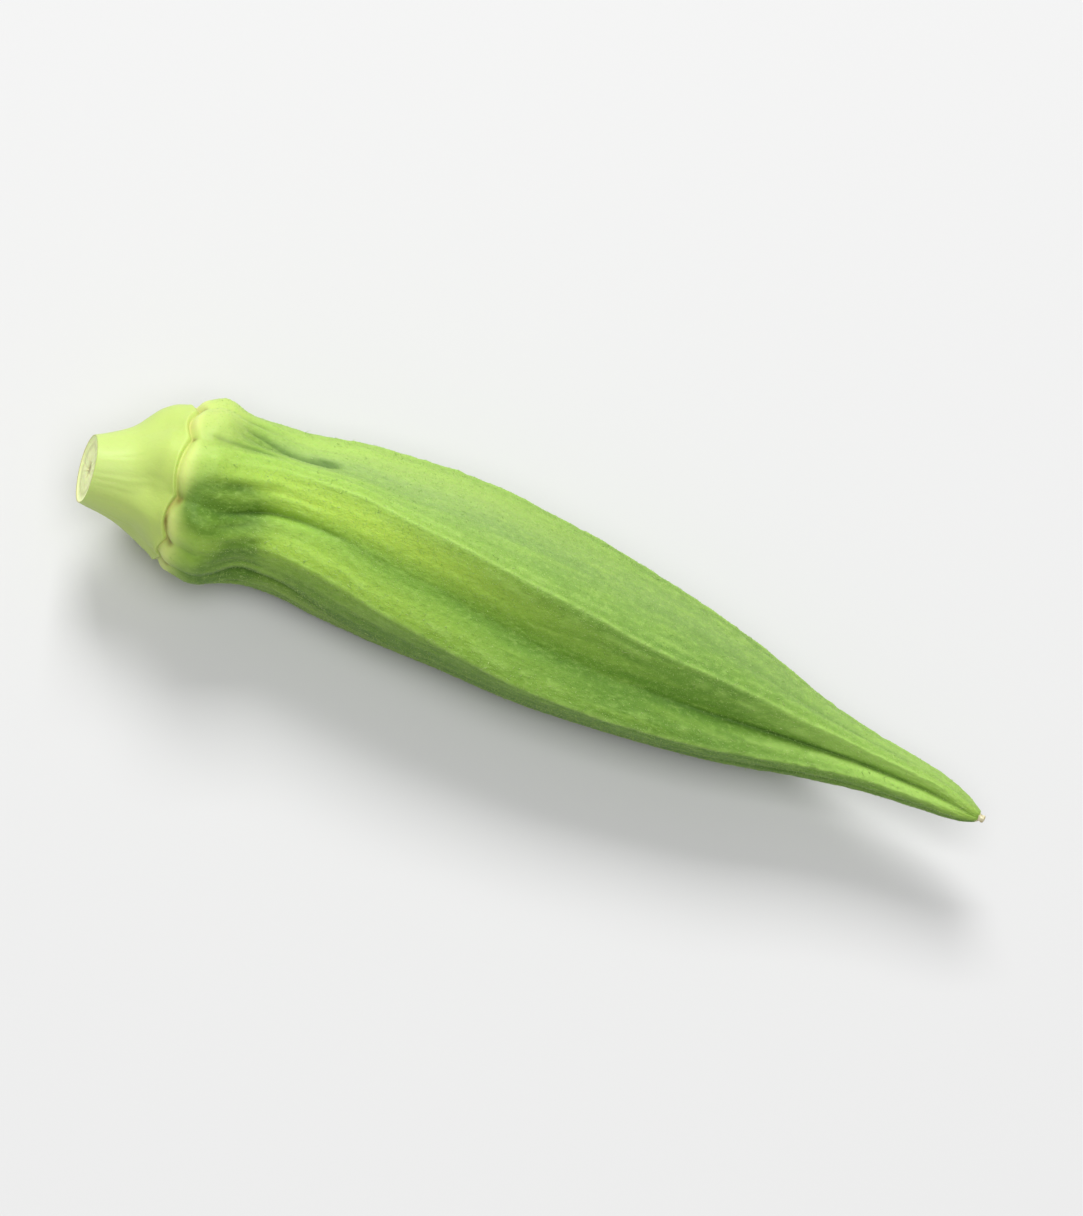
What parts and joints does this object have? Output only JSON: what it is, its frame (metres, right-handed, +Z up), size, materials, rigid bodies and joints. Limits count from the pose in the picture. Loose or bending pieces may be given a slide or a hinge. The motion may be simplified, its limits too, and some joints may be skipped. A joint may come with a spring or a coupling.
{
  "type": "okra pod",
  "caption": "Slender ridged green seed pod, gently bowed and tapering to a point, with a cut stalk stub, flared cap and knobbly collar; lies on its side as a fresh vegetable.",
  "frame": {"origin": "on the surface that the pod rests on, under the middle of its bounding box", "axes": "+X from the cut stalk to the tip, +Y the way the pod bows, +Z up"},
  "size_m": [0.1008, 0.0204, 0.019],
  "materials": {
    "pod_skin": "satin green skin with fine hairs, paler on the cap, the collar and the ridge crests"
  },
  "bodies": {
    "root": {"okra_pod": "pod_skin"}
  },
  "joints": []
}
